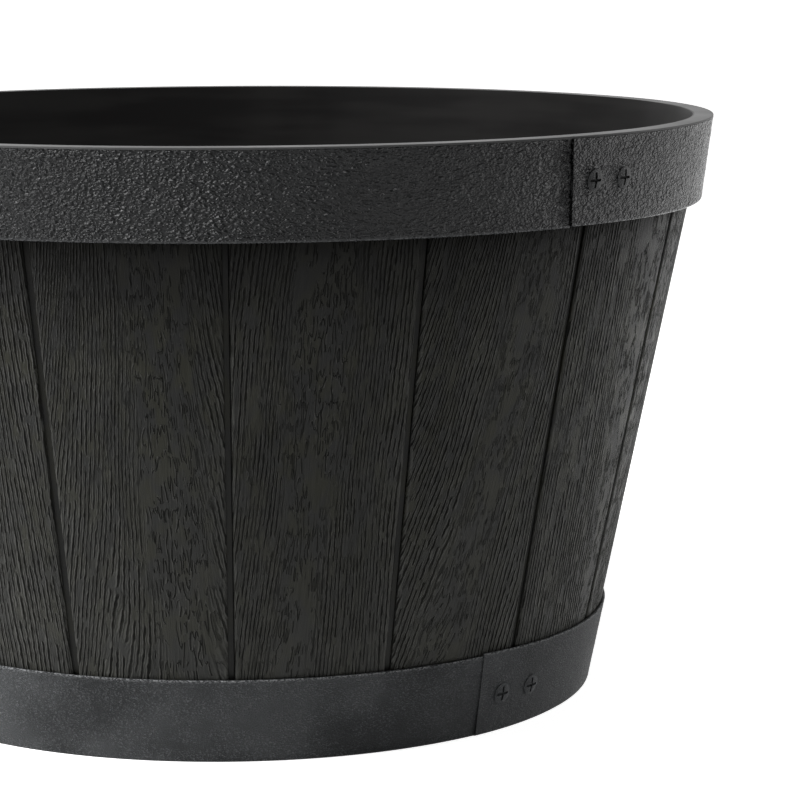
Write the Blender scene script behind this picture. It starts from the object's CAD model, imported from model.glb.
from math import atan, cos, hypot, pi, radians, sin, tan

import bpy
from mathutils import Matrix, Vector


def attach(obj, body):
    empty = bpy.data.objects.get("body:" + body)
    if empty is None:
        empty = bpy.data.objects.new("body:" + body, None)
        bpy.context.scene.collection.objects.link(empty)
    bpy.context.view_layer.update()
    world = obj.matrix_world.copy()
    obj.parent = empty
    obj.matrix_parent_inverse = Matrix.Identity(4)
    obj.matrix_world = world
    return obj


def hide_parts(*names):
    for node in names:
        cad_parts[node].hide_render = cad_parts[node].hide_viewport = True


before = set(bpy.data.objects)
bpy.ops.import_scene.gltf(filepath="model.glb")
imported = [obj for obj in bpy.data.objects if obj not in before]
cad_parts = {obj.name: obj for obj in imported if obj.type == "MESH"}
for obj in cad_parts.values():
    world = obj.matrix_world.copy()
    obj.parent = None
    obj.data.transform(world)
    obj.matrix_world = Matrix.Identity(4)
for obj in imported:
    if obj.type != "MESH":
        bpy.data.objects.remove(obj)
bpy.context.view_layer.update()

# ---- Tub ------------------------------------------------------------------------------------------
# The tub is one smooth moulding in black resin: a flat lip round the mouth, a tapered wall, a rounded
# corner and a floor with seven drain holes, on a short ring foot. A small ledge outside carries the
# staves.

HEIGHT = 234.0
FOOT_R = 146.5
MOUTH_R = 194.5
SLOPE = (MOUTH_R - FOOT_R) / HEIGHT
STAVE_THICK = 3.6
SEAT_GAP = 0.25
TUB_WALL = 1.9
LIP_THICK = 0.8
LIP_ROUND = 0.3
LIP_PROUD = 2.5
LIP_TRIM = 0.06
LIP_Z = HEIGHT - LIP_THICK
LEDGE_THICK = 2.0
FLOOR_UNDER = 6.0
FLOOR_TOP = 9.0
FLOOR_ROUND = 8.0
FOOT_WIDTH = 9.0
FOOT_ROUND = 0.8
OUTER_ROUND = 0.3
LEDGE_ROUND = 0.2
LIP_UNDER_ROUND = 0.1
DRAIN_SIZE = 10.0
DRAIN_CIRCLE = 95.0
DRAIN_COUNT = 6
DRAIN_STEPS = 48
TUB_STEPS = 288
CORNER_STEPS = 6
SPARE = 1.0
MM = 0.001
SEAM = 0.00001
HALF_SIDE = 0.48


def level(thickness):
    """How wide a wall of this thickness is, measured level across its lean."""
    return thickness * hypot(1, SLOPE)


def face_r(z):
    """Radius of the staves' outer face."""
    return FOOT_R + SLOPE * z


def tub_r(z):
    return face_r(z) - level(STAVE_THICK + SEAT_GAP)


def bore_r(z):
    return tub_r(z) - level(TUB_WALL)


LIP_R = face_r(HEIGHT) + level(LIP_PROUD) - LIP_TRIM


class Measure:
    """A number on its way through a node tree, so that a rule can be written as a plain sum."""

    def __init__(self, tree, socket):
        self.tree = tree
        self.socket = socket

    def by(self, operation, *others):
        node = self.tree.nodes.new("ShaderNodeMath")
        node.operation = operation
        for place, value in zip(node.inputs, (self, *others)):
            feed(self.tree, place, value)
        return Measure(self.tree, node.outputs[0])

    def __add__(self, other):
        return self.by("ADD", other)

    def __sub__(self, other):
        return self.by("SUBTRACT", other)

    def __mul__(self, other):
        return self.by("MULTIPLY", other)

    def __truediv__(self, other):
        return self.by("DIVIDE", other)

    def __rsub__(self, other):
        return self * -1.0 + other

    def ease(self, low, high):
        """Rises smoothly from 0 at low to 1 at high."""
        node = self.tree.nodes.new("ShaderNodeMapRange")
        node.interpolation_type = "SMOOTHSTEP"
        feed(self.tree, node.inputs["Value"], self)
        feed(self.tree, node.inputs["From Min"], low)
        feed(self.tree, node.inputs["From Max"], high)
        return Measure(self.tree, node.outputs["Result"])


def feed(tree, place, value):
    """Gives a socket its value: a plain one, or one that comes along a wire."""
    if isinstance(value, Measure):
        value = value.socket
    if isinstance(value, bpy.types.NodeSocket):
        tree.links.new(value, place)
    else:
        place.default_value = value


def step(tree, kind, feeds=None, **settings):
    """One node, set up and fed. Feeds go by the name or the place of the socket."""
    node = tree.nodes.new(kind)
    for name, value in settings.items():
        setattr(node, name, value)
    for name, value in (feeds or {}).items():
        feed(tree, node.inputs[name], value)
    return node


def vector(tree, x, y, z):
    return step(tree, "ShaderNodeCombineXYZ", {"X": x, "Y": y, "Z": z}).outputs[0]


def parts_of(tree, whole):
    apart = step(tree, "ShaderNodeSeparateXYZ", {0: whole})
    return [Measure(tree, socket) for socket in apart.outputs]


def mottle(tree, where, scale=1.0, detail=0.0):
    """Smooth random patches about one unit wide, from 0 to 1 with most near a half."""
    node = step(tree, "ShaderNodeTexNoise", {"Vector": where, "Scale": scale, "Detail": detail})
    return Measure(tree, node.outputs[0])


def new_tree(name, sizes):
    """A geometry tree that takes an outline, the named sizes and a finish, and what each of them feeds."""
    tree = bpy.data.node_groups.new(name, "GeometryNodeTree")
    tree.interface.new_socket("Outline", in_out="INPUT", socket_type="NodeSocketGeometry")
    for size in sizes:
        tree.interface.new_socket(size, in_out="INPUT", socket_type="NodeSocketFloat")
    tree.interface.new_socket("Finish", in_out="INPUT", socket_type="NodeSocketMaterial")
    tree.interface.new_socket("Piece", in_out="OUTPUT", socket_type="NodeSocketGeometry")
    given = tree.nodes.new("NodeGroupInput").outputs
    return tree, given, {size: Measure(tree, given[size]) for size in sizes}


def stored(tree, geometry, name, value, data_type="FLOAT_VECTOR"):
    feeds = {"Geometry": geometry, "Name": name, "Value": value}
    node = step(tree, "GeometryNodeStoreNamedAttribute", feeds, data_type=data_type, domain="POINT")
    return node.outputs[0]


def read(tree, name, data_type="FLOAT_VECTOR"):
    node = step(tree, "GeometryNodeInputNamedAttribute", {"Name": name}, data_type=data_type)
    return node.outputs[0]


def place_of(tree):
    """Where each point of the mesh is."""
    return tree.nodes.new("GeometryNodeInputPosition").outputs[0]


def row_path(tree, rows):
    """A line of this many points, for an outline to be carried along."""
    line = step(tree, "GeometryNodeMeshLine", {"Count": rows, "Offset": (0.0, 0.0, 1.0)})
    return step(tree, "GeometryNodeMeshToCurve", {0: line.outputs[0]}).outputs[0]


def carried(tree, outline, path, ends):
    """The skin that an outline leaves as it is carried along a path. Each point still knows its own place
    in the outline, as section, and the number of its row, as row."""
    marked = stored(tree, outline, "section", place_of(tree))
    rail = step(tree, "GeometryNodeMeshToCurve", {0: marked}).outputs[0]
    rows = stored(tree, path, "row", tree.nodes.new("GeometryNodeInputIndex").outputs[0], "FLOAT")
    skin = step(tree, "GeometryNodeCurveToMesh", {"Curve": rows, "Profile Curve": rail, "Fill Caps": ends})
    row = Measure(tree, read(tree, "row", "FLOAT"))
    return skin.outputs[0], parts_of(tree, read(tree, "section")), row


def on_circle(tree, skin, angle, radius, z):
    """Puts each point at an angle to the right of the front, a radius and a height."""
    turn = angle * radians(1)
    x = radius * turn.by("SINE") * MM
    y = radius * turn.by("COSINE") * -MM
    there = vector(tree, x, y, z * MM)
    return step(tree, "GeometryNodeSetPosition", {"Geometry": skin, "Position": there}).outputs[0]


def joined_seam(tree, skin):
    """Joins the points where a skin meets itself."""
    return step(tree, "GeometryNodeMergeByDistance", {"Geometry": skin, "Distance": SEAM}).outputs[0]


def cut_by(tree, skin, cutter, **settings):
    feeds = {"Mesh 1": skin, "Mesh 2": cutter}
    return step(tree, "GeometryNodeMeshBoolean", feeds, operation="DIFFERENCE", **settings).outputs[0]


def finished(tree, given, piece):
    """Ends a tree: real points, smooth shading and the finish that was asked for."""
    for name in ("section", "row"):
        piece = step(tree, "GeometryNodeRemoveAttribute", {"Geometry": piece, "Name": name}).outputs[0]
    real = step(tree, "GeometryNodeRealizeInstances", {"Geometry": piece}).outputs[0]
    smooth = step(tree, "GeometryNodeSetShadeSmooth", {0: real}).outputs[0]
    coated = step(tree, "GeometryNodeSetMaterial", {"Geometry": smooth, "Material": given["Finish"]})
    tree.links.new(coated.outputs[0], tree.nodes.new("NodeGroupOutput").inputs[0])


def made(name, points, edges, tree, sizes, finish):
    """Runs a tree on an outline and keeps the plain mesh that comes out, as the piece of that name."""
    draft_mesh = bpy.data.meshes.new(name + "_outline")
    draft_mesh.from_pydata(points, edges, [])
    draft = bpy.data.objects.new(name + "_outline", draft_mesh)
    bpy.context.scene.collection.objects.link(draft)
    way = draft.modifiers.new("way", "NODES")
    way.node_group = tree
    for item in tree.interface.items_tree:
        if item.name in sizes:
            way[item.identifier] = float(sizes[item.name])
        if item.name == "Finish":
            way[item.identifier] = finish
    result = draft.evaluated_get(bpy.context.evaluated_depsgraph_get())
    mesh = bpy.data.meshes.new_from_object(result)
    # A cut leaves an empty finish in front of the real one
    mesh.materials.clear()
    mesh.materials.append(finish)
    bpy.data.objects.remove(draft)
    piece = bpy.data.objects.new(name, mesh)
    mesh.name = name
    bpy.context.scene.collection.objects.link(piece)
    return piece


def chain(points):
    """The edges that join the points one after the other."""
    return [(i, i + 1) for i in range(len(points) - 1)]


def closed(points):
    """The edges that join the points into one loop."""
    return chain(points) + [(len(points) - 1, 0)]


def eased(corners, steps=4):
    """Rounds the corners (x, y, radius) of an outline, each by a short curve."""
    points = []
    for i, (x, y, r) in enumerate(corners):
        if r == 0:
            points.append((x, y))
            continue
        here = Vector((x, y))
        sides = []
        for j in (i - 1, i + 1):
            way = Vector(corners[j][:2]) - here
            sides.append(here + way.normalized() * min(r, way.length * HALF_SIDE))
        for k in range(steps + 1):
            t = k / steps
            points.append(tuple(sides[0] * (1 - t) ** 2 + here * 2 * t * (1 - t) + sides[1] * t ** 2))
    return points


def tub_tree():
    """Turns the tub's outline (radius, height) round the middle line and opens the drain holes."""
    sizes = ["Steps", "Drain size", "Drain circle", "Drain count", "Drain depth", "Drain steps"]
    tree, given, size = new_tree("tub_way", sizes)
    ring = step(tree, "GeometryNodeCurvePrimitiveCircle", {"Resolution": size["Steps"]}).outputs[0]
    skin, (radius, z, _), row = carried(tree, given["Outline"], ring, False)
    skin = joined_seam(tree, on_circle(tree, skin, row * 360.0 / size["Steps"], radius, z))
    circle = {"Vertices": size["Drain count"], "Radius": size["Drain circle"] * MM}
    spots = tree.nodes.new("GeometryNodeJoinGeometry")
    tree.links.new(step(tree, "GeometryNodeMeshCircle", circle).outputs[0], spots.inputs[0])
    tree.links.new(step(tree, "GeometryNodeMeshLine", {"Count": 1}).outputs[0], spots.inputs[0])
    drill = step(tree, "GeometryNodeMeshCylinder", {
        "Vertices": size["Drain steps"], "Radius": size["Drain size"] * (MM / 2),
        "Depth": size["Drain depth"] * MM}).outputs[0]
    drills = {"Points": spots.outputs[0], "Instance": drill}
    drills = step(tree, "GeometryNodeInstanceOnPoints", drills).outputs[0]
    drills = step(tree, "GeometryNodeRealizeInstances", {"Geometry": drills}).outputs[0]
    finished(tree, given, cut_by(tree, skin, drills))
    return tree


def resin(name, colour, roughness, gloss):
    """A moulded resin. Its colour is laid on by the nodes that follow."""
    finish = bpy.data.materials.new(name)
    finish.use_nodes = True
    tree = finish.node_tree
    skin = tree.nodes["Principled BSDF"]
    skin.inputs["Base Color"].default_value = (*colour, 1.0)
    skin.inputs["Roughness"].default_value = roughness
    skin.inputs["Specular IOR Level"].default_value = gloss
    return finish, tree, skin


def blended(tree, share, first, second):
    """Goes from the first colour to the second as the share goes from 0 to 1."""
    node = step(tree, "ShaderNodeMix", data_type="RGBA", clamp_factor=True)
    feed(tree, node.inputs[0], share)
    for place, colour in ((node.inputs[6], first), (node.inputs[7], second)):
        feed(tree, place, (*colour, 1.0) if isinstance(colour, tuple) else colour)
    return node.outputs[2]


def in_mm(tree, stretch=(1.0, 1.0, 1.0)):
    """The place on the object in millimetres, each way drawn out by a stretch."""
    here = tree.nodes.new("ShaderNodeTexCoord").outputs["Object"]
    scale = tuple(1.0 / MM / s for s in stretch)
    return step(tree, "ShaderNodeMapping", {"Vector": here, "Scale": scale}).outputs[0]


def raised(tree, skin, height, distance, strength=1.0):
    """Lets the light see a relief of this height, in a share of the distance in millimetres."""
    bump = step(tree, "ShaderNodeBump", {"Height": height, "Distance": distance * MM, "Strength": strength})
    tree.links.new(bump.outputs[0], skin.inputs["Normal"])


LINER_BLACK = (0.0058, 0.0055, 0.0055)
LINER_DUSTY = (0.0130, 0.0126, 0.0122)
LIP_RUBBED = (0.0900, 0.0900, 0.0900)
LINER_ROUGH = 0.34
LINER_ROUGHER = 0.12
LINER_GLOSS = 0.05
WIPED_SIZE = (75.0, 75.0, 8.0)
CLOUD_SIZE = (60.0, 60.0, 60.0)
PORE_SIZE = (0.9, 0.9, 0.9)
WIPED_SHARE = 0.6
DUSTY_SHOWN = (0.4, 0.64)
LIP_INNER_EDGE = 0.3
LIP_INNER_WORN = 0.9
LIP_DOWN = 0.1
LINER_RELIEF = 0.1
PORE_RELIEF = 0.25

liner_resin, tree, skin = resin("liner_resin", LINER_BLACK, LINER_ROUGH, LINER_GLOSS)
wiped = mottle(tree, in_mm(tree, WIPED_SIZE), detail=2.0)
cloud = mottle(tree, in_mm(tree, CLOUD_SIZE), detail=3.0)
dusty = (wiped * WIPED_SHARE + cloud * (1.0 - WIPED_SHARE)).ease(*DUSTY_SHOWN)
smear = blended(tree, dusty, LINER_BLACK, LINER_DUSTY)
x, y, z = parts_of(tree, in_mm(tree))
past_bore = (x * x + y * y).by("SQRT").ease(bore_r(HEIGHT) + LIP_INNER_EDGE, bore_r(HEIGHT) + LIP_INNER_WORN)
on_lip = past_bore * z.ease(LIP_Z - LIP_DOWN, LIP_Z)
feed(tree, skin.inputs["Base Color"], blended(tree, on_lip, smear, LIP_RUBBED))
feed(tree, skin.inputs["Roughness"], cloud.ease(0.3, 0.7) * LINER_ROUGHER + LINER_ROUGH)
pores = mottle(tree, in_mm(tree, PORE_SIZE), detail=1.0)
raised(tree, skin, pores * PORE_RELIEF + wiped, LINER_RELIEF, 0.5)

tub_corners = [
    (0.0, FLOOR_TOP, 0.0), (bore_r(FLOOR_TOP), FLOOR_TOP, FLOOR_ROUND), (bore_r(HEIGHT), HEIGHT, LIP_ROUND),
    (LIP_R, HEIGHT, LIP_ROUND), (LIP_R, LIP_Z, LIP_UNDER_ROUND), (tub_r(LIP_Z), LIP_Z, LEDGE_ROUND),
    (tub_r(LEDGE_THICK), LEDGE_THICK, LEDGE_ROUND), (face_r(LEDGE_THICK), LEDGE_THICK, LEDGE_ROUND),
    (FOOT_R, 0.0, OUTER_ROUND), (FOOT_R - FOOT_WIDTH, 0.0, FOOT_ROUND),
    (FOOT_R - FOOT_WIDTH, FLOOR_UNDER, FOOT_ROUND), (0.0, FLOOR_UNDER, 0.0)]
tub_outline = [(r, z, 0.0) for r, z in eased(tub_corners, steps=CORNER_STEPS)]
tub = made("liner_tub", tub_outline, chain(tub_outline), tub_tree(), {
    "Steps": TUB_STEPS, "Drain size": DRAIN_SIZE, "Drain circle": DRAIN_CIRCLE, "Drain count": DRAIN_COUNT,
    "Drain depth": 2 * FLOOR_TOP + 2 * SPARE, "Drain steps": DRAIN_STEPS}, liner_resin)
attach(tub, "root")
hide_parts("tub")

# ---- Staves ---------------------------------------------------------------------------------------
# Sixteen tapered staves of dark resin stand round the tub, each moulded with its own oak grain. A stave's
# right edge is a thin tongue that forms the floor of the slot before the next stave, and both arrises of
# the slot are worn.

STAVE_COUNT = 16
STAVE_TURN = 360.0 / STAVE_COUNT
SLOT_HALF = 1.2
SLOT_DEPTH = 1.3
RIGHT_ARRIS = 0.9
LEFT_ARRIS = 0.8
ARRIS_DROP = 0.6
ARRIS_ROUND = 0.35
ARRIS_REACH = 0.5
SLOT_EDGE_ROUND = 0.25
SLOT_FLOOR_ROUND = 0.3
TONGUE_GAP = 0.3
TONGUE_ROUND = 0.15
GRAIN_COLUMNS = 224
BACK_COLUMNS = 10
SEEN_FROM = 32.0
SEEN_TO = 201.0
STAVE_ROWS = 146
GRAIN_DEPTH = 0.16


def stave_outline():
    """Points (share of the turn, way past the joint, depth under the face) round a stave's section."""
    left_out = SLOT_HALF + LEFT_ARRIS
    right_out = -SLOT_HALF - RIGHT_ARRIS
    tongue = SLOT_HALF - TONGUE_GAP
    left = eased([
        (SLOT_HALF, STAVE_THICK, 0), (SLOT_HALF, ARRIS_DROP, SLOT_EDGE_ROUND), (left_out, 0, ARRIS_ROUND),
        (left_out + ARRIS_REACH, 0, 0)])
    right = eased([
        (right_out - ARRIS_REACH, 0, 0), (right_out, 0, ARRIS_ROUND),
        (-SLOT_HALF, ARRIS_DROP, SLOT_EDGE_ROUND), (-SLOT_HALF, SLOT_DEPTH, SLOT_FLOOR_ROUND),
        (tongue, SLOT_DEPTH, TONGUE_ROUND), (tongue, STAVE_THICK, 0)])
    points = [(0.0, aside, depth) for aside, depth in left]
    for i in range(1, GRAIN_COLUMNS):
        share = i / GRAIN_COLUMNS
        points.append((share, left[-1][0] * (1 - share) + right[0][0] * share, 0.0))
    points += [(1.0, aside, depth) for aside, depth in right]
    for i in range(1, BACK_COLUMNS):
        share = 1 - i / BACK_COLUMNS
        points.append((share, left[0][0] * (1 - share) + right[-1][0] * share, STAVE_THICK))
    return points


def figured(tree, across, along, wide, long, draw, detail=0.0):
    """Random figure in the wood, about so wide and long in millimetres. Each draw gives another one."""
    return mottle(tree, vector(tree, across / wide, along / long, draw), detail=detail)


RING_JITTER = 0.5
GROOVE_WIDTH_SWING = 0.4
GROOVE_SHOWN = (0.35, 0.43)
GROOVE_SIDE = (0.16, 0.44)
RIM_SIDE = (0.55, 1.0)
SQUIGGLE_SHIFT = 0.25
SQUIGGLE_WIDEST = 0.006
SQUIGGLE_WIDE = 1.1
SQUIGGLE_LONG = 10.0
SQUIGGLE_SIDE = (0.3, 0.85)
SQUIGGLE_RIM = (1.2, 2.3)
SQUIGGLE_DEPTH = 0.9
CROWD_SHOWN = (0.36, 0.42)
BREAKS_SHOWN = (0.39, 0.45)
SQUIGGLES_LOST_TO_LINES = 0.7


def grooves(tree, place, kind):
    """Depth of the grain's grooves and height of the rims beside them, each from 0 to 1. The place says how
    far across the grain and along the stave a point is, and how many rings in. The kind says how much the
    rings show as lines, how calm the face is, and where it is bare."""
    across, along, ring = parts_of(tree, place)
    line, calm, bare = parts_of(tree, kind)
    jitter = figured(tree, across, along, wide=1.0, long=3.4, draw=14.0, detail=1.0) - 0.5
    ring = ring + jitter * RING_JITTER
    ring_number = ring.by("FLOOR")
    off_middle = ((ring - ring_number) - 0.5).by("ABSOLUTE") * 2.0
    gap = mottle(tree, vector(tree, ring_number * 3.7, along / 10.0, across * 0.02), detail=1.0)
    width = mottle(tree, vector(tree, ring_number * 5.3, along / 3.0, 9.0), detail=1.0)
    from_line = off_middle - (width - 0.5) * GROOVE_WIDTH_SWING
    shown = gap.ease(*GROOVE_SHOWN) * line

    # A squiggle is where a figure crosses a half, and its steepness there turns that into a way across
    figure = figured(tree, across, along, SQUIGGLE_WIDE, SQUIGGLE_LONG, draw=3.0, detail=0.5)
    beside = figured(tree, across + SQUIGGLE_SHIFT, along, SQUIGGLE_WIDE, SQUIGGLE_LONG, draw=3.0, detail=0.5)
    steepness = (figure - beside).by("ABSOLUTE") + SQUIGGLE_WIDEST
    from_squiggle = (figure - 0.5).by("ABSOLUTE") / steepness
    crowd = figured(tree, across, along, wide=4.5, long=11.0, draw=6.0, detail=1.0).ease(*CROWD_SHOWN)
    breaks = figured(tree, across, along, wide=1.6, long=4.0, draw=17.0).ease(*BREAKS_SHOWN)
    crowded = crowd * breaks * (1.0 - line * SQUIGGLES_LOST_TO_LINES)

    open_face = (1.0 - calm) * bare
    squiggle = (1.0 - from_squiggle.ease(*SQUIGGLE_SIDE)) * crowded * SQUIGGLE_DEPTH
    groove = ((1.0 - from_line.ease(*GROOVE_SIDE)) * shown).by("MAXIMUM", squiggle) * open_face
    squiggle_rim = (1.0 - from_squiggle.ease(*SQUIGGLE_RIM)) * crowded
    rim = ((1.0 - from_line.ease(*RIM_SIDE)) * shown).by("MAXIMUM", squiggle_rim) * open_face
    return groove.by("MINIMUM", 1.0), (rim * (1.0 - groove)).by("MINIMUM", 1.0)


STAVE_SIZES = [
    "First joint", "Turn", "Foot", "Top", "Seen from", "Seen to", "Rows", "Centre", "Slant", "Twist", "Apex",
    "Taper", "Ring width", "Calm", "Seed", "Grain depth", "Left arris", "Right arris", "Arris drop",
    "Slot depth"]
SEED_STEP = 7.31
NEXT_DRAW = 40.0
PLACE_STEP = 90.0
TWIST_UNIT = 0.001
SWAY = 5.5
WAVER = 1.2
AT_HEART = 0.01
STEEP_SHARE = 0.65
BREAK_SHARE = 1.1
CALM_SHARE = 0.3
LINES_SHOWN = (0.68, 0.92)
STEEP_ENOUGH = (0.7, 0.9)
CALM_FROM = 0.62
CALM_TO = 0.67
CALM_SPREAD = 0.1
CALM_LOST_TO_LINES = 0.8
FACE_END = 0.001
FACE_DEEPEST = 0.01
BARE_FADE = 0.3
ARRIS_RUB = 0.6


def stave_tree():
    """Carries a stave's outline up the cone of the barrel and presses the grain into its face."""
    tree, given, size = new_tree("stave_way", STAVE_SIZES)
    path = row_path(tree, size["Rows"])
    skin, (share, aside, depth), row = carried(tree, given["Outline"], path, True)
    last = size["Rows"] - 1.0
    seen = size["Seen to"] - size["Seen from"]
    z = (size["Seen from"] + seen * (row - 1.0) / (last - 2.0)).by("MAXIMUM", size["Foot"])
    at_foot = row.by("LESS_THAN", 0.5)
    at_top = row.by("GREATER_THAN", last - 0.5)
    z = z + (size["Foot"] - z) * at_foot + (size["Top"] - z) * at_top
    face = z * SLOPE + FOOT_R
    across = (share - 0.5) * size["Turn"] * radians(1) * face + aside

    # The rings of the log that the grain was taken from
    up = z - HEIGHT / 2
    seed = size["Seed"] * SEED_STEP
    sway = figured(tree, across, z, wide=16.0, long=75.0, draw=seed) - 0.5
    waver = figured(tree, across, z, wide=5.0, long=26.0, draw=seed + NEXT_DRAW, detail=1.0) - 0.5
    off = across - size["Centre"] - size["Slant"] * up + size["Twist"] * across * up * TWIST_UNIT
    off = off + sway * SWAY + waver * WAVER
    rise = size["Apex"] + size["Taper"] * up
    reach = (off * off + rise * rise).by("SQRT")
    steep = off.by("ABSOLUTE") / (reach + AT_HEART)
    break_up = figured(tree, off, z, wide=9.0, long=34.0, draw=seed + 2 * NEXT_DRAW, detail=1.0)
    line = (steep * STEEP_SHARE + break_up * BREAK_SHARE - size["Calm"] * CALM_SHARE).ease(*LINES_SHOWN)
    line = line * steep.ease(*STEEP_ENOUGH)
    quiet = figured(tree, off, z, wide=6.5, long=20.0, draw=seed + 3 * NEXT_DRAW, detail=0.5)
    spread = size["Calm"] * CALM_SPREAD
    calm = quiet.ease(CALM_FROM - spread, CALM_TO - spread) * (1.0 - line * CALM_LOST_TO_LINES)
    on_face = share.by("GREATER_THAN", FACE_END) * share.by("LESS_THAN", 1.0 - FACE_END)
    on_face = on_face * depth.by("LESS_THAN", FACE_DEEPEST)
    in_view = (1.0 - at_foot) * (1.0 - at_top)
    bare = in_view * (1.0 - (depth - size["Arris drop"]).ease(0.0, BARE_FADE))

    place = vector(tree, off + size["Seed"] * PLACE_STEP, z, reach / size["Ring width"])
    skin = stored(tree, skin, "grain_place", place)
    skin = stored(tree, skin, "grain_kind", vector(tree, line, calm, bare))
    left = 1.0 - ((aside - size["Left arris"]) / ARRIS_RUB).by("ABSOLUTE").by("MINIMUM", 1.0)
    right = 1.0 - ((aside + size["Right arris"]) / ARRIS_RUB).by("ABSOLUTE").by("MINIMUM", 1.0)
    rubbed = left * share.by("LESS_THAN", FACE_END) + right * share.by("GREATER_THAN", 1.0 - FACE_END)
    skin = stored(tree, skin, "edge_rub", rubbed, "FLOAT")
    skin = stored(tree, skin, "slot_dirt", depth.ease(size["Arris drop"], size["Slot depth"]), "FLOAT")
    pressed, _ = grooves(tree, read(tree, "grain_place"), read(tree, "grain_kind"))
    pressed = pressed * size["Grain depth"] * on_face
    radius = face - (depth + pressed) * hypot(1, SLOPE)
    angle = size["First joint"] + share * size["Turn"] + aside / radius / radians(1)
    finished(tree, given, on_circle(tree, skin, angle, radius, z))
    return tree


STAVE_OLIVE = (0.0262, 0.0263, 0.0192)
STAVE_GREY = (0.0222, 0.0227, 0.0224)
STAVE_DEEP = (0.0026, 0.0025, 0.0022)
STAVE_WORN = (0.0720, 0.0725, 0.0670)
STAVE_ROUGH = 0.38
STAVE_GLOSS = 0.085
STAVE_RELIEF = 0.8
SHELTERED_TO = 150.0
DARKEST_TO = 189.0
SHELTERED_FROM = 201.0
DUSTY_TO = 30.0
DUSTY_FROM = 150.0
HAZE_RUB = 0.15
RIM_RUB = 0.7
DUST_RUB = 0.28
FIBRE_RUB = 0.14
STREAK_RUB = 0.1
ARRIS_WEAR = 0.7
FIBRE_DARK = 0.2
GROOVE_DARK = 0.74
SLOT_DARK = 0.5
SHELTER_DARK = 0.85
GROOVE_DULL = 0.5
SHELTER_DULL = 0.55
PATCH_ROUGH = 0.1
GROOVE_ROUGH = 0.25
RIM_RELIEF = 0.35
FIBRE_RELIEF = 0.25
SPECK_RELIEF = 0.12


def carried_value(tree, name, output="Fac"):
    """What the mesh says under this name, at each place on it."""
    return Measure(tree, step(tree, "ShaderNodeAttribute", attribute_name=name).outputs[output])


stave_resin, tree, skin = resin("stave_resin", STAVE_OLIVE, STAVE_ROUGH, STAVE_GLOSS)
place = carried_value(tree, "grain_place", "Vector")
kind = carried_value(tree, "grain_kind", "Vector")
edge_rub = carried_value(tree, "edge_rub")
slot_dirt = carried_value(tree, "slot_dirt")
across, along, _ = parts_of(tree, place)
_, _, bare = parts_of(tree, kind)
groove, rim = grooves(tree, place, kind)
patch = figured(tree, across, along, wide=9.0, long=16.0, draw=1.0, detail=3.0)
haze = figured(tree, across, along, wide=38.0, long=70.0, draw=5.0, detail=2.0)
fibre = figured(tree, across, along, wide=0.45, long=12.0, draw=8.0, detail=2.0)
streak = figured(tree, across, along, wide=1.6, long=26.0, draw=11.0, detail=2.0)
speck = figured(tree, across, along, wide=0.35, long=0.5, draw=2.0, detail=1.0)
chips = mottle(tree, vector(tree, 4.0, along / 8.0, across / 40.0)).ease(0.25, 0.6)
dust = 1.0 - along.ease(DUSTY_TO, DUSTY_FROM)
shelter = along.ease(SHELTERED_TO, SHELTERED_FROM)
rub = haze.ease(0.4, 0.7) * HAZE_RUB + rim * RIM_RUB + dust * DUST_RUB
rub = rub + fibre.ease(0.52, 0.68) * bare * FIBRE_RUB + streak.ease(0.5, 0.72) * bare * STREAK_RUB
rub = rub + edge_rub * chips * ARRIS_WEAR
colour = blended(tree, patch.ease(0.4, 0.58), STAVE_OLIVE, STAVE_GREY)
colour = blended(tree, rub, colour, STAVE_WORN)
colour = blended(tree, (1.0 - fibre).ease(0.5, 0.66) * FIBRE_DARK * bare, colour, STAVE_DEEP)
colour = blended(tree, groove * GROOVE_DARK, colour, STAVE_DEEP)
colour = blended(tree, slot_dirt * SLOT_DARK, colour, STAVE_DEEP)
colour = blended(tree, shelter * SHELTER_DARK, colour, STAVE_DEEP)
feed(tree, skin.inputs["Base Color"], colour)
clear = (1.0 - groove * GROOVE_DULL) * (1.0 - along.ease(DARKEST_TO, SHELTERED_FROM) * SHELTER_DULL)
feed(tree, skin.inputs["Specular IOR Level"], clear * STAVE_GLOSS)
rough = patch.ease(0.3, 0.7) * PATCH_ROUGH + groove * GROOVE_ROUGH + STAVE_ROUGH
feed(tree, skin.inputs["Roughness"], rough)
relief = rim * RIM_RELIEF - groove + fibre * FIBRE_RELIEF * bare + speck * SPECK_RELIEF
raised(tree, skin, relief, STAVE_RELIEF)

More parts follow.
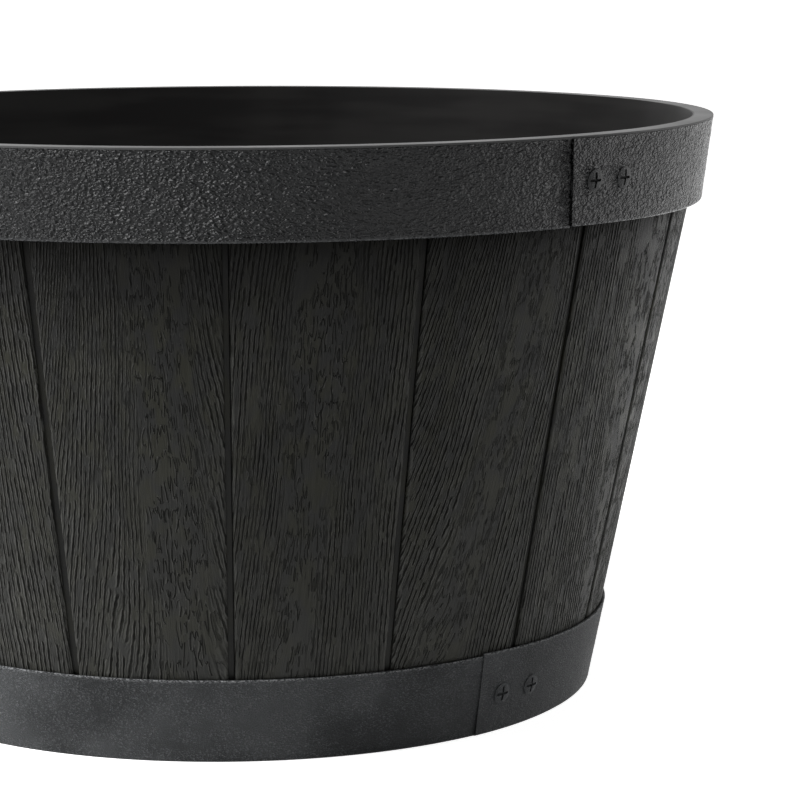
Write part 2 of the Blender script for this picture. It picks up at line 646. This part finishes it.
# How each stave's grain runs: the middle of its rings in mm from the stave's own, their slant and twist,
# how far below the face the log's heart lies and how fast that changes up the stave, the width of a ring,
# and how much is calm. The first four and the last two are those at the front.
GRAINS = [
    (-4.0, 0.06, 0.0, 7.0, 0.03, 1.40, 0.5),
    (6.0, 0.18, 2.0, 8.0, 0.02, 1.65, 0.0),
    (24.0, -0.03, 0.0, 10.0, 0.05, 1.85, 0.7),
    (-30.0, 0.04, 0.0, 9.0, 0.05, 1.60, 0.3),
    (-6.0, 0.05, 3.0, 8.0, 0.05, 1.75, 0.5),
    (20.0, -0.08, 0.0, 9.0, 0.10, 1.60, 0.3),
    (-14.0, 0.02, -3.0, 8.0, -0.06, 1.80, 0.6),
    (40.0, 0.08, 2.0, 12.0, 0.05, 1.90, 0.2),
    (2.0, 0.03, 4.0, 9.0, 0.08, 1.65, 0.5),
    (-22.0, -0.09, 0.0, 9.0, 0.06, 1.60, 0.4),
    (10.0, 0.06, 0.0, 12.0, -0.10, 1.80, 0.6),
    (-38.0, 0.05, -2.0, 12.0, 0.06, 1.90, 0.2),
    (6.0, -0.04, 4.5, 9.0, 0.06, 1.60, 0.5),
    (-10.0, 0.07, 0.0, 8.0, 0.05, 1.70, 0.4),
    (-52.0, 0.02, 0.0, 12.0, 0.03, 1.75, 0.0),
    (13.0, 0.02, 4.0, 9.0, 0.05, 1.50, 0.5),
]

GRAIN_NAMES = ("Centre", "Slant", "Twist", "Apex", "Taper", "Ring width", "Calm")

outline = stave_outline()
tree = stave_tree()
for i, grain in enumerate(GRAINS):
    name = f"stave_{i + 1:02d}"
    stave = made(name + "_grained", outline, closed(outline), tree, {
        **dict(zip(GRAIN_NAMES, grain)), "First joint": i * STAVE_TURN, "Turn": STAVE_TURN,
        "Foot": LEDGE_THICK, "Top": LIP_Z, "Seen from": SEEN_FROM, "Seen to": SEEN_TO, "Rows": STAVE_ROWS,
        "Seed": i + 1, "Grain depth": GRAIN_DEPTH, "Left arris": SLOT_HALF + LEFT_ARRIS,
        "Right arris": SLOT_HALF + RIGHT_ARRIS, "Arris drop": ARRIS_DROP, "Slot depth": SLOT_DEPTH},
        stave_resin)
    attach(stave, "root")
    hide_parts(name)

# ---- Hoops ----------------------------------------------------------------------------------------
# Each hoop is one strap of charcoal resin with a fine hammered face, bent round the staves until its ends
# lap. The outer end stands a little proud over a thinner tongue, and a narrow groove is left before it.

HOOP_PITCH = 0.74
HOOP_ROUND_LOW = 0.8
HOOP_ROUND_HIGH = 0.35
EDGE_RUB = 1.1
END_CALM = 0.6
END_DIRT = 0.35
DENTS_TO_MM = 0.55
WAVES_TO_MM = 0.22
CALM_ABOVE_EDGE = (0.5, 2.0)
CALM_BELOW_EDGE = (0.3, 1.6)
HOOP_FACE = 0.99
FACE_INSET = 0.01
LAP_LENGTH = 42.0
FADE_LENGTH = LAP_LENGTH * 1.3
LAP_RISE = 0.6
TONGUE_SHARE = 0.42
TONGUE_CLEAR = 0.16
WALL_RUN = 0.012
TOP_LAP = 40.3
TOP_SLANT = 6.0
TOP_GROOVE = 0.45
TOP_HOOP_HIGH = 33.2
TOP_HOOP_FLARE = 5.0
BOTTOM_LAP = 38.6
BOTTOM_SLANT = 2.0
BOTTOM_GROOVE = 0.15
BOTTOM_HOOP_HIGH = 33.0
BOTTOM_HOOP_PROUD = 1.4

HOOP_SIZES = [
    "Lap", "Rows", "Row turn", "Wall row", "Wall run", "Low", "High", "Thick low", "Thick high", "Tongue",
    "Tongue clear", "Lap turn", "Slant turn", "Fade turn", "Rise", "Edge lift", "Edge to lift", "Relief",
    "Coarse"]


def hoop_tree():
    """Carries a hoop's outline once round the barrel and on under its own outer end, and hammers its face."""
    tree, given, size = new_tree("hoop_way", HOOP_SIZES)
    path = row_path(tree, size["Rows"])
    skin, (out, up, inset), row = carried(tree, given["Outline"], path, True)
    past_wall = row.by("GREATER_THAN", size["Wall row"] + 0.5)
    turn = row * size["Row turn"] - past_wall * (size["Row turn"] - size["Wall run"])
    tall = size["High"] - size["Low"]
    z = size["Low"] + tall * up
    thick = size["Thick low"] + (size["Thick high"] - size["Thick low"]) * up
    fade = 1.0 - (turn / size["Fade turn"]).by("MINIMUM", 1.0)
    over = turn.by("LESS_THAN", size["Lap turn"])
    inner = over * (size["Tongue"] + size["Tongue clear"])
    outer = thick + size["Rise"] * fade
    outer = outer + (size["Tongue"] - outer) * past_wall
    off_edge = (up - size["Edge to lift"]).by("ABSOLUTE")
    lifted = z + size["Edge lift"] * fade * (1.0 - off_edge.by("MINIMUM", 1.0))
    back = z * SLOPE + (FOOT_R + level(SEAT_GAP))
    radius = back + inner + (outer - inner) * out - inset
    angle = size["Lap"] + turn - size["Slant turn"] * (up - 0.5)

    # The hammered relief is pressed in, and stops short of the edges and the ends
    skin = on_circle(tree, skin, angle, radius, lifted)
    there = step(tree, "ShaderNodeVectorMath", {0: place_of(tree), "Scale": 1.0 / MM}, operation="SCALE")
    dents = mottle(tree, there.outputs[0], scale=DENTS_TO_MM, detail=1.5)
    waves = mottle(tree, there.outputs[0], scale=WAVES_TO_MM)
    edge = (up * tall).ease(*CALM_ABOVE_EDGE) * ((1.0 - up) * tall).ease(*CALM_BELOW_EDGE)
    to_wall = size["Row turn"] * size["Wall row"] - turn
    end = turn.ease(0.0, END_CALM) * to_wall.ease(0.0, END_CALM)
    face = out.by("GREATER_THAN", HOOP_FACE)
    on_face = face * inset.by("LESS_THAN", FACE_INSET) * edge * end
    from_edge = (off_edge * tall / EDGE_RUB).by("MINIMUM", 1.0)
    skin = stored(tree, skin, "edge_rub", (1.0 - from_edge) * face, "FLOAT")
    at_end = (1.0 - turn.by("MINIMUM", to_wall) / END_DIRT).by("MINIMUM", 1.0).by("MAXIMUM", 0.0)
    skin = stored(tree, skin, "slot_dirt", at_end, "FLOAT")
    pressed = (1.0 - dents.ease(0.3, 0.7)) + (1.0 - waves.ease(0.3, 0.7)) * size["Coarse"]
    skin = on_circle(tree, skin, angle, radius - pressed * size["Relief"] * on_face, lifted)
    finished(tree, given, skin)
    return tree


def beads(tree, where, grain):
    """Small rounded bumps, so many to a millimetre, from 0 between them to 1 on top."""
    feeds = {"Vector": where, "Scale": grain, "Smoothness": 0.15}
    cell = step(tree, "ShaderNodeTexVoronoi", feeds, feature="SMOOTH_F1")
    return 1.0 - Measure(tree, cell.outputs["Distance"]).ease(0.08, 0.62)


BEAD_STRETCH = (1.3, 1.3, 0.8)
BEAD_DRIFT = 0.6
SMALL_BEADS = 1.9
FINE_BEADS = 3.0
SMALL_RELIEF = 0.35
FINE_RELIEF = 0.25
HOOP_PATCH = (14.0, 14.0, 9.0)
HOOP_CLOUD = (40.0, 40.0, 40.0)
CLOUD_TONE = 0.2
RELIEF_TONE = 0.7
CHIP_TO_MM = 1.5
CHIP_SHARE = 0.6
HOOP_ROUGHER = 0.08


def hammered(name, colour, worn, bright, roughness, gloss, grain, depth, coarse, edge_calm, dirt):
    """Charcoal resin with a fine hammered skin, its high spots and its edges rubbed lighter. Coarse says how
    much larger bumps show among the fine ones, edge_calm how much the skin smooths out at the edges, and
    dirt how dark and dull the recesses and the ends of a strap are."""
    finish, tree, skin = resin(name, colour, roughness, gloss)
    here = in_mm(tree, BEAD_STRETCH)
    feeds = {"Vector": here, "Scale": grain * BEAD_DRIFT, "Detail": 1.0}
    drift = step(tree, "ShaderNodeTexNoise", feeds).outputs["Color"]
    feeds = {0: drift, 1: (1.0, 1.0, 1.0), 2: here}
    drift = step(tree, "ShaderNodeVectorMath", feeds, operation="MULTIPLY_ADD").outputs[0]
    large = beads(tree, drift, grain)
    small = beads(tree, drift, grain * SMALL_BEADS)
    fine = mottle(tree, here, scale=grain * FINE_BEADS, detail=1.0)
    patch = mottle(tree, in_mm(tree, HOOP_PATCH), detail=2.0)
    cloud = mottle(tree, in_mm(tree, HOOP_CLOUD), detail=3.0)
    edge_rub = carried_value(tree, "edge_rub")
    slot_dirt = carried_value(tree, "slot_dirt")
    relief = small * SMALL_RELIEF + fine * FINE_RELIEF + large * patch.ease(0.3, 0.5) * coarse
    relief = relief * (1.0 - edge_rub * edge_calm)
    tone = cloud.ease(0.35, 0.65) * CLOUD_TONE + relief.ease(0.1, 0.9) * RELIEF_TONE
    toned = blended(tree, tone, colour, worn)
    chips = mottle(tree, here, scale=CHIP_TO_MM).ease(0.45, 0.58)
    chipped = chips * (1.0 - edge_calm) + edge_calm * CHIP_SHARE
    toned = blended(tree, edge_rub * chipped, toned, bright)
    if dirt:
        toned = blended(tree, slot_dirt * dirt, toned, STAVE_DEEP)
        feed(tree, skin.inputs["Specular IOR Level"], (1.0 - slot_dirt * dirt) * gloss)
    feed(tree, skin.inputs["Base Color"], toned)
    feed(tree, skin.inputs["Roughness"], cloud.ease(0.3, 0.7) * HOOP_ROUGHER + roughness)
    raised(tree, skin, relief, depth)
    return finish


def hoop_outline(high):
    """Points (0 at the back and 1 at the face, share of the height, way in from the face) round a section."""
    points = [(0.0, 0.0, 0.0)]
    for t in (0.0, 0.25, 0.5, 0.75):
        points.append((1.0, HOOP_ROUND_LOW * t * t / high, HOOP_ROUND_LOW * (1 - t) ** 2))
    count = round(high / HOOP_PITCH)
    for i in range(count + 1):
        along = HOOP_ROUND_LOW + (high - HOOP_ROUND_LOW - HOOP_ROUND_HIGH) * i / count
        points.append((1.0, along / high, 0.0))
    for t in (0.35, 0.7, 1.0):
        points.append((1.0, 1 - HOOP_ROUND_HIGH * (1 - t) ** 2 / high, HOOP_ROUND_HIGH * t * t))
    points.append((0.0, 1.0, 0.0))
    return points[::-1]


def hoop(name, tree, finish, lap, slant, groove_wide, low, high, out_low, out_high, **looks):
    """One hoop between two heights, with its face at the given radius at each of them."""
    mid_r = (out_low + out_high) / 2
    in_turn = 180.0 / pi / mid_r
    thick_low = out_low - face_r(low) - level(SEAT_GAP)
    thick_high = out_high - face_r(high) - level(SEAT_GAP)
    thin = min(thick_low, thick_high)
    groove = groove_wide * in_turn
    wall_row = round((360.0 - groove) / (HOOP_PITCH * in_turn))
    row_turn = (360.0 - groove) / wall_row
    tongue_rows = round(LAP_LENGTH * in_turn / row_turn)
    outline = hoop_outline(high - low)
    piece = made(name, outline, closed(outline), tree, {
        "Lap": lap, "Rows": wall_row + 2 + tongue_rows, "Row turn": row_turn, "Wall row": wall_row,
        "Wall run": WALL_RUN, "Low": low, "High": high, "Thick low": thick_low, "Thick high": thick_high,
        "Tongue": thin * TONGUE_SHARE, "Tongue clear": thin * TONGUE_CLEAR, "Lap turn": LAP_LENGTH * in_turn,
        "Slant turn": (high - low) * tan(radians(slant)) * in_turn, "Fade turn": FADE_LENGTH * in_turn,
        "Rise": LAP_RISE, "Edge lift": looks["edge_lift"], "Edge to lift": looks["edge_to_lift"],
        "Relief": looks["relief"], "Coarse": looks["coarse"]}, finish)
    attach(piece, "root")
    return piece


HOOP_CHARCOAL = (0.0050, 0.0054, 0.0060)
HOOP_RUBBED = (0.0256, 0.0266, 0.0281)
HOOP_BRIGHT = (0.1200, 0.1240, 0.1280)
DUSTY_CHARCOAL = (0.0265, 0.0281, 0.0295)
DUSTY_RUBBED = (0.2500, 0.2590, 0.2670)
DUSTY_BRIGHT = (0.3400, 0.3480, 0.3560)

tree = hoop_tree()
top_low = LIP_Z - TOP_HOOP_HIGH
top_out = face_r(top_low) + level(TOP_HOOP_FLARE)
top_finish = hammered(
    "hoop_resin", HOOP_CHARCOAL, HOOP_RUBBED, HOOP_BRIGHT, roughness=0.17, gloss=0.19, grain=0.55, depth=1.9,
    coarse=0.6, edge_calm=0.85, dirt=0.55)
top_hoop = hoop("top_hoop_hammered", tree, top_finish, lap=TOP_LAP, slant=TOP_SLANT, groove_wide=TOP_GROOVE,
                low=top_low, high=LIP_Z, out_low=top_out, out_high=LIP_R, edge_lift=0.4, edge_to_lift=0.0,
                relief=0.13, coarse=0.8)
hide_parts("top_hoop")

bottom_out_low = FOOT_R + level(BOTTOM_HOOP_PROUD)
bottom_out_high = face_r(BOTTOM_HOOP_HIGH) + level(BOTTOM_HOOP_PROUD)
bottom_finish = hammered(
    "hoop_resin_fine", DUSTY_CHARCOAL, DUSTY_RUBBED, DUSTY_BRIGHT, roughness=0.45, gloss=0.08, grain=1.3,
    depth=1.0, coarse=0.4, edge_calm=0.0, dirt=0.0)
bottom_hoop = hoop("bottom_hoop_hammered", tree, bottom_finish, lap=BOTTOM_LAP, slant=BOTTOM_SLANT,
                   groove_wide=BOTTOM_GROOVE, low=0.0, high=BOTTOM_HOOP_HIGH, out_low=bottom_out_low,
                   out_high=bottom_out_high, edge_lift=1.0, edge_to_lift=1.0, relief=0.07, coarse=0.6)
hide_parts("bottom_hoop")

# ---- Screws ---------------------------------------------------------------------------------------
# Two dark screws hold each lap. They go through the outer end and the tongue into the stave behind, and
# show a low domed head with a cross recess.

HEAD_SIZE = 8.4
HEAD_HIGH = 0.9
HEAD_SUNK = 0.2
HEAD_ROUND = 0.25
HEAD_RINGS = 7
HEAD_STEPS = 64
DOME_R = HEAD_SIZE * 2
SHANK_SIZE = 3.0
BITE = STAVE_THICK * 0.7
RECESS_LONG = 6.0
RECESS_WIDE = 1.0
RECESS_DEEP = 0.7
RECESS_REACH = 0.51
RECESS_DARK = (0.3, 0.6)
SCREW_PITCH = 18.0
TOP_SCREW_IN = 12.0
TOP_SCREW_UP = 0.5
BOTTOM_SCREW_IN = 12.0
BOTTOM_SCREW_UP = -0.8
CRISP_BEND = 0.5


def screw_tree():
    """Turns a screw's outline, cuts the cross into its head and puts a copy at each spot."""
    sizes = ["Steps", "Recess long", "Recess wide", "Recess deep", "Head top", "Lean"]
    tree, given, size = new_tree("screw_way", sizes)
    ring = step(tree, "GeometryNodeCurvePrimitiveCircle", {"Resolution": size["Steps"]}).outputs[0]
    # The spots are loose points in the outline, and only the joined ones are the screw
    joined = step(tree, "GeometryNodeInputMeshVertexNeighbors").outputs["Vertex Count"]
    feeds = {"Geometry": given["Outline"], "Selection": joined}
    parted = step(tree, "GeometryNodeSeparateGeometry", feeds, domain="POINT")
    skin, (radius, z, _), row = carried(tree, parted.outputs["Selection"], ring, False)
    skin = joined_seam(tree, on_circle(tree, skin, row * 360.0 / size["Steps"], radius, z))
    for wide, long in (("Recess wide", "Recess long"), ("Recess long", "Recess wide")):
        block = vector(tree, size[wide] * MM, size[long] * MM, size["Recess deep"] * (2 * MM))
        arm = step(tree, "GeometryNodeMeshCube", {"Size": block}).outputs[0]
        feeds = {"Geometry": arm, "Translation": vector(tree, 0.0, 0.0, size["Head top"] * MM)}
        arm = step(tree, "GeometryNodeTransform", feeds).outputs[0]
        skin = cut_by(tree, skin, arm, solver="EXACT")
    x, y, z = parts_of(tree, place_of(tree))
    in_recess = (x * x + y * y).by("SQRT").by("LESS_THAN", size["Recess long"] * (RECESS_REACH * MM))
    under_top = (size["Head top"] - z / MM).ease(*RECESS_DARK)
    skin = stored(tree, skin, "slot_dirt", in_recess * under_top, "FLOAT")
    bend = Measure(tree, tree.nodes.new("GeometryNodeInputMeshEdgeAngle").outputs["Unsigned Angle"])
    feeds = {"Geometry": skin, "Selection": bend.by("GREATER_THAN", CRISP_BEND), "Shade Smooth": False}
    skin = step(tree, "GeometryNodeSetShadeSmooth", feeds, domain="EDGE").outputs[0]
    facing = vector(tree, 0.0, size["Lean"] * radians(1), y.by("ARCTAN2", x))
    feeds = {"Points": parted.outputs["Inverted"], "Instance": skin, "Rotation": facing}
    finished(tree, given, step(tree, "GeometryNodeInstanceOnPoints", feeds).outputs[0])
    return tree


def dome_z(r):
    """Height of a head's dome at this radius, over the dome's own middle."""
    return (DOME_R ** 2 - r * r) ** 0.5


def screws(name, tree, finish, lap, screw_in, screw_up, low, high, out_low, out_high):
    """The two screws of a hoop's lap, in the hoop between two heights with the given radius at each."""
    steep = (out_high - out_low) / (high - low)
    mid_r = (out_low + out_high) / 2 + steep * screw_up
    mid_z = (low + high) / 2 + screw_up
    least_rise = LAP_RISE * (1 - (screw_in + SCREW_PITCH) / FADE_LENGTH)
    reach = mid_r + least_rise - face_r(mid_z) + BITE
    top = HEAD_HIGH - HEAD_SUNK
    head_r = HEAD_SIZE / 2
    shank_r = SHANK_SIZE / 2
    corners = [
        (0.0, -reach, 0.0), (shank_r, shank_r - reach, 0.2), (shank_r, -HEAD_SUNK, 0.1),
        (head_r, -HEAD_SUNK, 0.05), (head_r, top - (DOME_R - dome_z(head_r)), 0.0)]
    outline = [(r, z, 0.0) for r, z in eased(corners)]
    for i in range(HEAD_RINGS, -1, -1):
        r = (head_r - HEAD_ROUND) * i / HEAD_RINGS
        outline.append((r, top - DOME_R + dome_z(r), 0.0))
    outline.reverse()
    spots = []
    for along in (screw_in, screw_in + SCREW_PITCH):
        turn = radians(lap) + along / mid_r
        r = mid_r + LAP_RISE * (1 - along / FADE_LENGTH)
        spots.append((r * sin(turn) * MM, -r * cos(turn) * MM, mid_z * MM))
    piece = made(name, outline + spots, chain(outline), tree, {
        "Steps": HEAD_STEPS, "Recess long": RECESS_LONG, "Recess wide": RECESS_WIDE,
        "Recess deep": RECESS_DEEP, "Head top": top, "Lean": 90.0 + atan(steep) * 180.0 / pi}, finish)
    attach(piece, "root")
    return piece


screw_resin = hammered(
    "screw_resin", HOOP_CHARCOAL, HOOP_RUBBED, HOOP_BRIGHT, roughness=0.34, gloss=0.16, grain=0.95,
    depth=0.25, coarse=0.2, edge_calm=0.0, dirt=0.85)
dusty_resin = hammered(
    "screw_resin_dusty", DUSTY_CHARCOAL, DUSTY_RUBBED, DUSTY_BRIGHT, roughness=0.45, gloss=0.08, grain=1.3,
    depth=0.25, coarse=0.2, edge_calm=0.0, dirt=0.6)
tree = screw_tree()
top_screws = screws("top_hoop_screw_heads", tree, screw_resin, lap=TOP_LAP, screw_in=TOP_SCREW_IN,
                    screw_up=TOP_SCREW_UP, low=top_low, high=LIP_Z, out_low=top_out, out_high=LIP_R)
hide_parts("top_hoop_screws")
bottom_screws = screws("bottom_hoop_screw_heads", tree, dusty_resin, lap=BOTTOM_LAP, screw_in=BOTTOM_SCREW_IN,
                       screw_up=BOTTOM_SCREW_UP, low=0.0, high=BOTTOM_HOOP_HIGH, out_low=bottom_out_low,
                       out_high=bottom_out_high)
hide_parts("bottom_hoop_screws")

# ---- Floor, light and camera ----------------------------------------------------------------------
# A white floor under a white sky, three soft lamps to the left and a weak one to the right, and the camera
# at the photograph's angle.

FLOOR_REACH = 40.0
PAPER_GREY = 0.8
PAPER_ROUGH = 0.9
NEAR_GLOW = 0.88
NEAR_WHITE = 300.0
FAR_WHITE = 1500.0
ROOM_LIGHT = 0.05
WHITE = (1.0, 1.0, 1.0, 1.0)
MIDDLE = Vector((0.0, 0.0, 0.12))


def plain_sight(tree):
    """1 where the camera looks, straight on, by way of a gloss or through something clear, and 0 for other
    light."""
    seen = tree.nodes.new("ShaderNodeLightPath").outputs
    ways = Measure(tree, seen["Is Camera Ray"]) + seen["Is Glossy Ray"] + seen["Is Transmission Ray"]
    return ways.by("MINIMUM", 1.0)


floor_mesh = bpy.data.meshes.new("floor")
corners = [(-1, -1), (1, -1), (1, 1), (-1, 1)]
floor_mesh.from_pydata([(x * FLOOR_REACH, y * FLOOR_REACH, 0.0) for x, y in corners], [], [(0, 1, 2, 3)])
floor = bpy.data.objects.new("floor", floor_mesh)
bpy.context.scene.collection.objects.link(floor)
paper = bpy.data.materials.new("white_paper")
paper.use_nodes = True
tree = paper.node_tree
skin = tree.nodes["Principled BSDF"]
skin.inputs["Base Color"].default_value = (PAPER_GREY, PAPER_GREY, PAPER_GREY, 1.0)
skin.inputs["Roughness"].default_value = PAPER_ROUGH
skin.inputs["Emission Color"].default_value = WHITE
x, y, _ = parts_of(tree, in_mm(tree))
far = (x * x + y * y).by("SQRT").ease(NEAR_WHITE, FAR_WHITE)
feed(tree, skin.inputs["Emission Strength"], plain_sight(tree) * (far * (1.0 - NEAR_GLOW) + NEAR_GLOW))
floor_mesh.materials.append(paper)

world = bpy.data.worlds.new("white_room")
bpy.context.scene.world = world
world.use_nodes = True
tree = world.node_tree
sky = tree.nodes["Background"]
sky.inputs["Color"].default_value = WHITE
feed(tree, sky.inputs["Strength"], plain_sight(tree) * (1.0 - ROOM_LIGHT) + ROOM_LIGHT)


def softbox(name, turn, climb, away, width, height, power):
    """A rectangular lamp that faces the planter, at an angle to the right of the front and up from
    the floor."""
    turn = radians(turn)
    climb = radians(climb)
    lamp = bpy.data.lights.new(name, "AREA")
    lamp.shape = "RECTANGLE"
    lamp.size = width
    lamp.size_y = height
    lamp.energy = power
    way = Vector((sin(turn) * cos(climb), -cos(turn) * cos(climb), sin(climb)))
    holder = bpy.data.objects.new(name, lamp)
    holder.location = MIDDLE + way * away
    holder.rotation_euler = way.to_track_quat("Z", "Y").to_euler()
    holder.visible_camera = False
    bpy.context.scene.collection.objects.link(holder)


softbox("left_high_box", turn=-60.0, climb=55.0, away=1.8, width=0.6, height=0.5, power=29.0)
softbox("left_box", turn=-72.0, climb=42.0, away=1.7, width=0.3, height=0.3, power=4.0)
softbox("left_low_box", turn=-85.0, climb=5.0, away=1.6, width=0.8, height=0.35, power=14.0)
softbox("right_box", turn=105.0, climb=15.0, away=1.6, width=0.8, height=1.0, power=6.5)

CAMERA_PLACE = Vector((0.01899, -1.25606, 0.3131))
CAMERA_HEADING = -2.275
CAMERA_DOWN = 9.022
CAMERA_ROLL = -0.146
LENS = 137.016
FILM_WIDE = 36.0
SIGHT_END = 200.0

lens = bpy.data.cameras.new("camera")
lens.lens = LENS
lens.sensor_width = FILM_WIDE
lens.clip_end = SIGHT_END
camera = bpy.data.objects.new("camera", lens)
heading = Matrix.Rotation(radians(CAMERA_HEADING), 4, "Z")
tilt = Matrix.Rotation(radians(90.0 - CAMERA_DOWN), 4, "X")
roll = Matrix.Rotation(radians(CAMERA_ROLL), 4, "Z")
camera.matrix_world = Matrix.Translation(CAMERA_PLACE) @ heading @ tilt @ roll
bpy.context.scene.collection.objects.link(camera)
bpy.context.scene.camera = camera
bpy.context.scene.view_settings.view_transform = "Standard"
